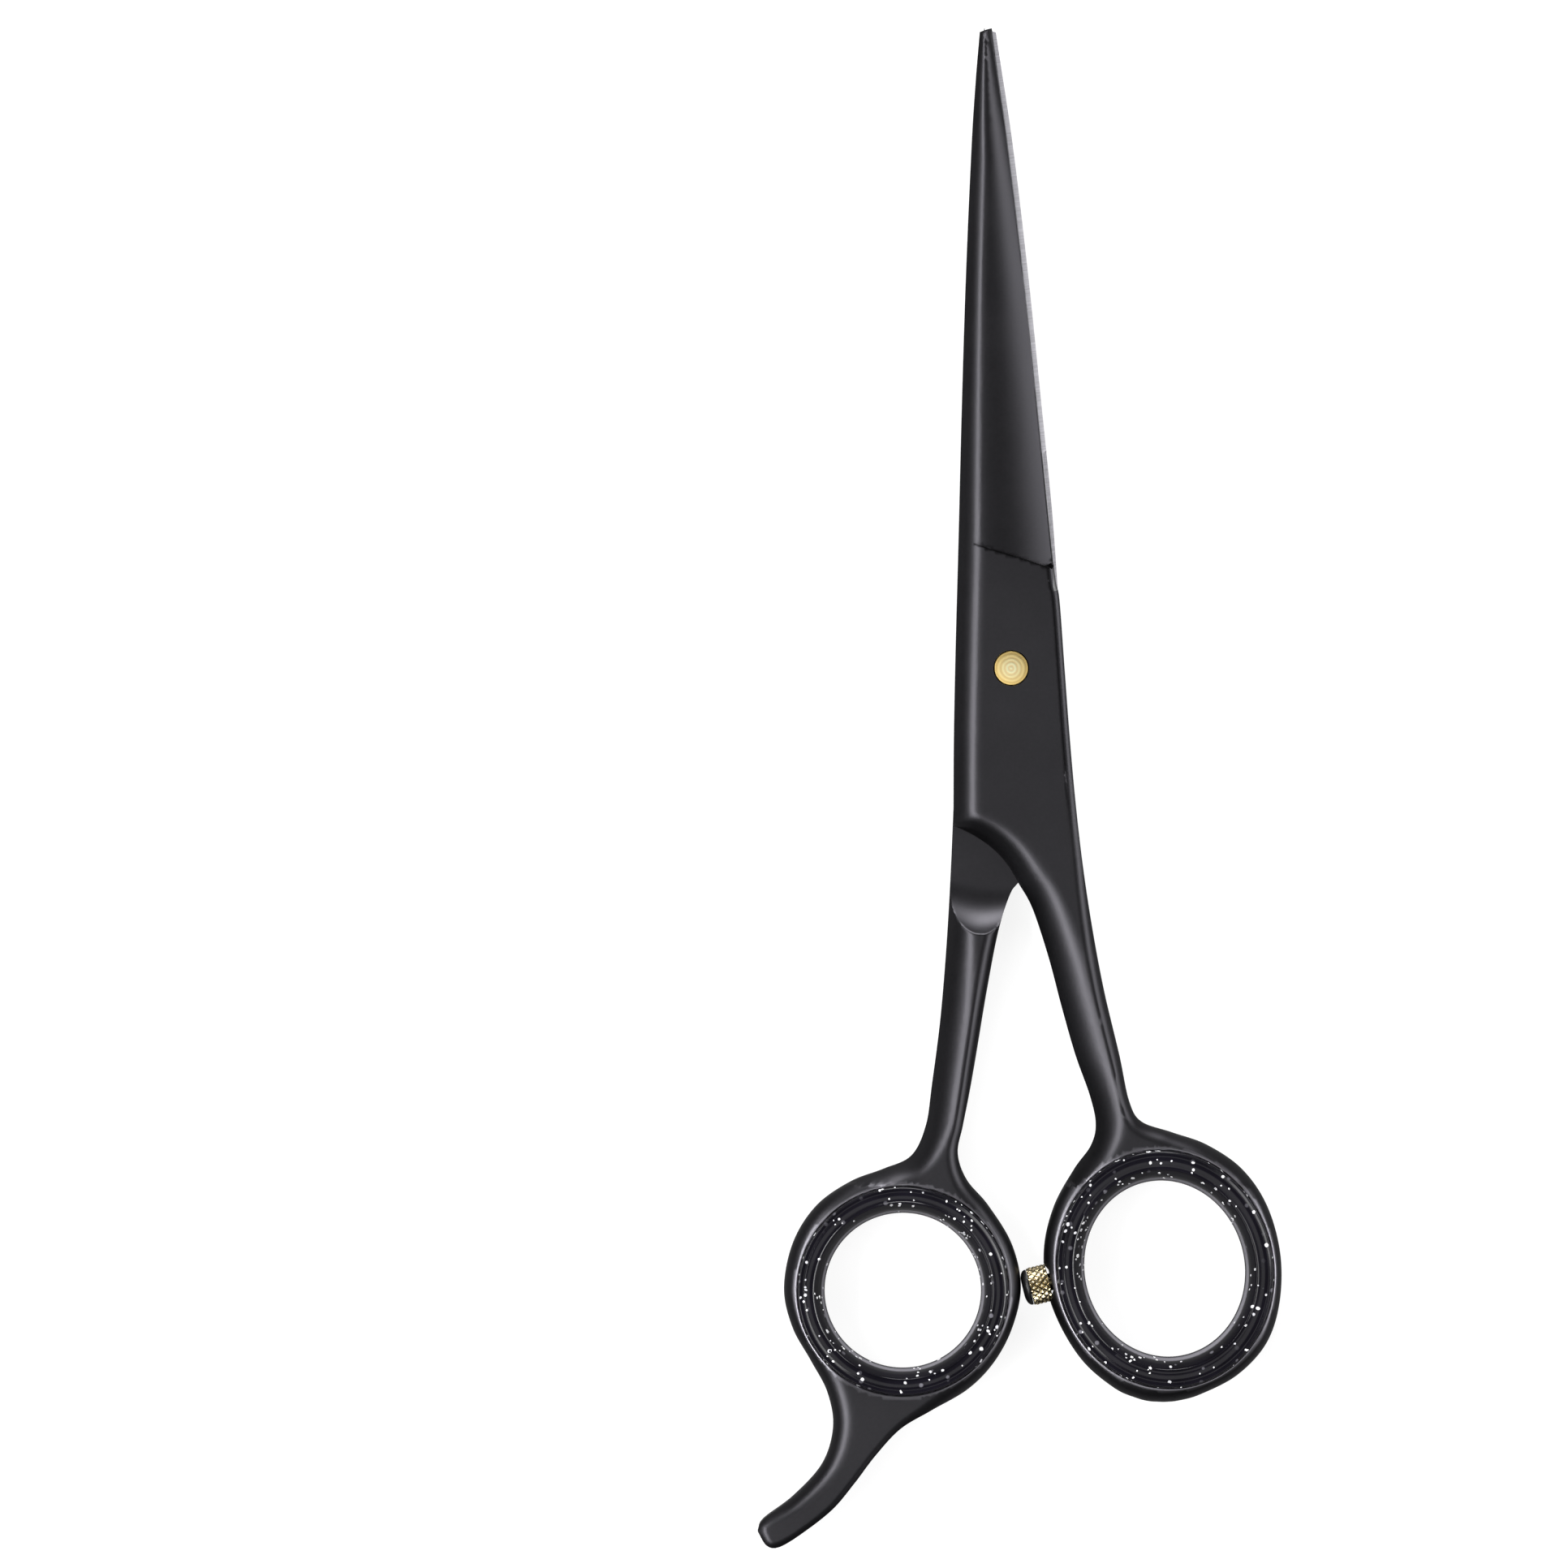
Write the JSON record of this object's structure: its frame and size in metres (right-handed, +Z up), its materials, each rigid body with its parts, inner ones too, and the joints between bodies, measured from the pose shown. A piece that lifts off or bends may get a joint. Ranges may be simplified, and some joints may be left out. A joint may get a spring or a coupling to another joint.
{
  "type": "hair cutting shears",
  "caption": "Closed hair cutting shears with a fixed finger rest, soft ring inserts, a screw pivot and a rubber-tipped closing bumper.",
  "frame": {"origin": "middle of the bounding box at the surface that the shears lie on", "axes": "+Y from the rings towards the blade tips, +Z up from the surface to the thumb half's outer face, +X to the thumb ring's side"},
  "size_m": [0.0632, 0.1828, 0.0075],
  "materials": {
    "coated_steel": "satin black coating on stainless steel, bare and cross-brushed on the ride faces",
    "turned_brass": "turned, with a knurled barrel on the bumper",
    "spring_steel": "bright",
    "nylon": "natural, matte",
    "glitter_plastic": "glossy soft plastic with silver glitter",
    "rubber": "moulded, smooth"
  },
  "bodies": {
    "finger_body": {"finger_half": "coated_steel", "finger_insert": "glitter_plastic", "pivot_bushing": "nylon", "tension_washer": "spring_steel"},
    "thumb_body": {"thumb_half": "coated_steel", "thumb_insert": "glitter_plastic"},
    "screw_body": {"pivot_screw": "turned_brass"},
    "bumper_body": {"bumper_tip": "rubber"},
    "barrel_body": {"bumper_barrel": "turned_brass"}
  },
  "joints": [
    {"name": "blade_pivot", "type": "hinge", "parent": "finger_body", "child": "thumb_body", "pos_m": [-0.00094, 0.01436, 0.00375], "axis": [0, 0, 1], "range_deg": [0, 150]},
    {"name": "tension_turn", "type": "hinge", "parent": "thumb_body", "child": "screw_body", "pos_m": [-0.00094, 0.01436, 0.00375], "axis": [0, 0, 1], "range_deg": [-45, 45]},
    {"name": "bumper_travel", "type": "slide", "parent": "thumb_body", "child": "bumper_body", "axis": [0.9709, 0.2396, 0], "range_m": [0, 0.000225]},
    {"name": "bumper_turn", "type": "hinge", "parent": "bumper_body", "child": "barrel_body", "pos_m": [0.00365, -0.05948, 0.00375], "axis": [0.9709, 0.2396, 0], "range_deg": [0, 180.5]}
  ],
  "couplings": [
    {"joint": "bumper_turn", "follows": "bumper_travel", "rad_per_m": 13963}
  ]
}
